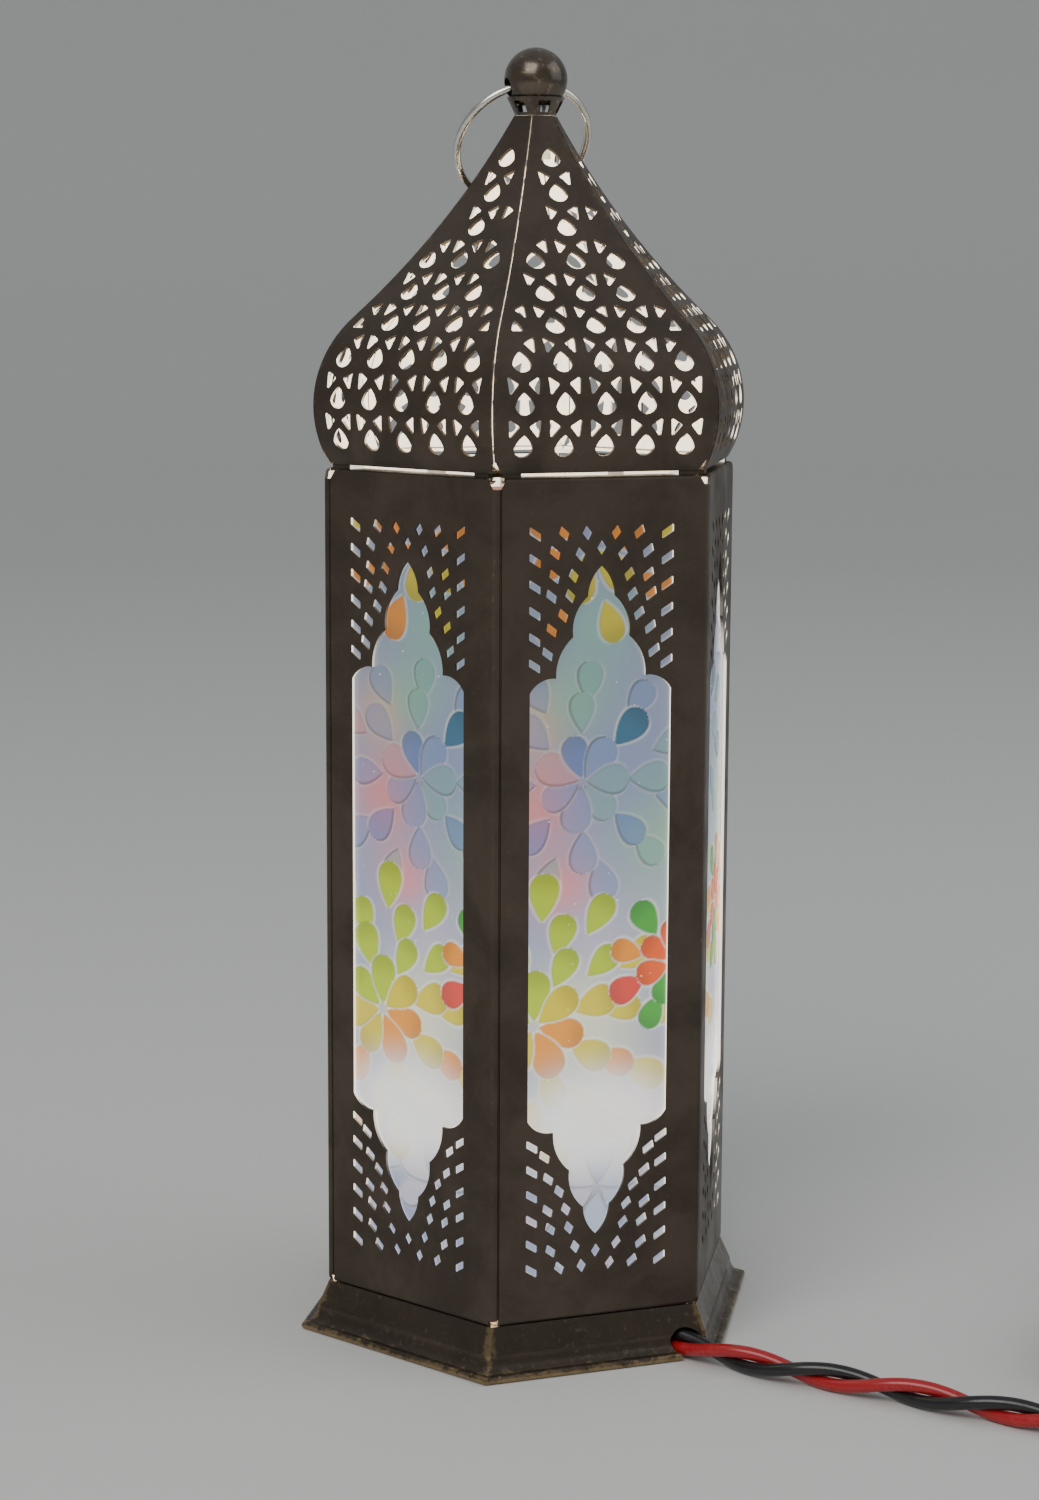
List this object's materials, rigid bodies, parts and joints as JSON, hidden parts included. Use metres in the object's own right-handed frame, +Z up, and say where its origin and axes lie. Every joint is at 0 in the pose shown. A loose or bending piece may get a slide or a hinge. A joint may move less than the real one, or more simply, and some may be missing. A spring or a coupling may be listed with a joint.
{
  "type": "moroccan metal lantern",
  "caption": "Six-sided pierced metal lantern with an ogee dome, coloured panes, a hanging ring on its ball finial and an electric lamp on a flared base.",
  "frame": {"origin": "on the floor at the middle of the base", "axes": "+Z up through the finial; the front face looks towards -Y; two of the hexagon's corners lie on +X and -X"},
  "size_m": [0.2065, 0.1644, 0.2556],
  "materials": {
    "bronze_paint": "dark antique bronze paint, satin, worn to brass on the lip",
    "coloured_pane": "translucent resin printed with coloured petals",
    "bare_steel": "plain zinc-plated",
    "dark_bronze": "dark glossy bronze",
    "ring_wire": "bright drawn wire",
    "holder_moulding": "pale moulded holder",
    "brass": "pressed brass",
    "cap_metal": "rolled cap",
    "tip_insulator": "black vitrite",
    "bulb_glass": "frosted",
    "rubber": "black",
    "clamp_plastic": "black",
    "red_pvc": "soft pvc",
    "black_pvc": "soft pvc",
    "tie_plastic": "black",
    "plug_moulding": "black moulding",
    "pin_metal": "nickel plated"
  },
  "bodies": {
    "base": {"base_skirt": "bronze_paint", "base_plate": "bare_steel", "base_rivets": "bare_steel", "lamp_holder": "holder_moulding", "holder_terminals": "brass", "holder_liner": "brass", "centre_contact": "brass", "holder_screws": "bare_steel", "holder_nuts": "bare_steel", "bulb_cap": "cap_metal", "bulb_tip": "tip_insulator", "bulb_glass": "bulb_glass", "lead_grommet": "rubber", "lead_clamp": "clamp_plastic", "core_red": "red_pvc", "core_black": "black_pvc", "lead_tube": "red_pvc", "lead_tail": "red_pvc", "lead_coil": "red_pvc", "coil_tie": "tie_plastic", "plug_body": "plug_moulding", "plug_pins": "pin_metal"},
    "shell": {"panel_front": "bronze_paint", "panel_front_right": "bronze_paint", "panel_back_right": "bronze_paint", "panel_back": "bronze_paint", "panel_back_left": "bronze_paint", "panel_front_left": "bronze_paint", "pane_front": "coloured_pane", "pane_front_right": "coloured_pane", "pane_back_right": "coloured_pane", "pane_back": "coloured_pane", "pane_back_left": "coloured_pane", "pane_front_left": "coloured_pane", "petal_front": "bronze_paint", "petal_front_right": "bronze_paint", "petal_back_right": "bronze_paint", "petal_back": "bronze_paint", "petal_back_left": "bronze_paint", "petal_front_left": "bronze_paint", "pane_tabs": "bare_steel", "rim_spacers": "bronze_paint", "rim_rivets": "bronze_paint", "finial_ball": "dark_bronze", "finial_cup": "dark_bronze", "finial_stem": "bare_steel", "neck_washer": "bare_steel", "neck_nut": "bare_steel"},
    "ring": {"hanging_ring": "ring_wire"}
  },
  "joints": [
    {"name": "shell_lift", "type": "slide", "parent": "base", "child": "shell", "axis": [0, 0, 1], "range_m": [0, 0.08]},
    {"name": "ring_swing", "type": "hinge", "parent": "shell", "child": "ring", "pos_m": [0, 0, 0.2479], "axis": [1, 0, 0], "range_deg": [0, 290]}
  ]
}
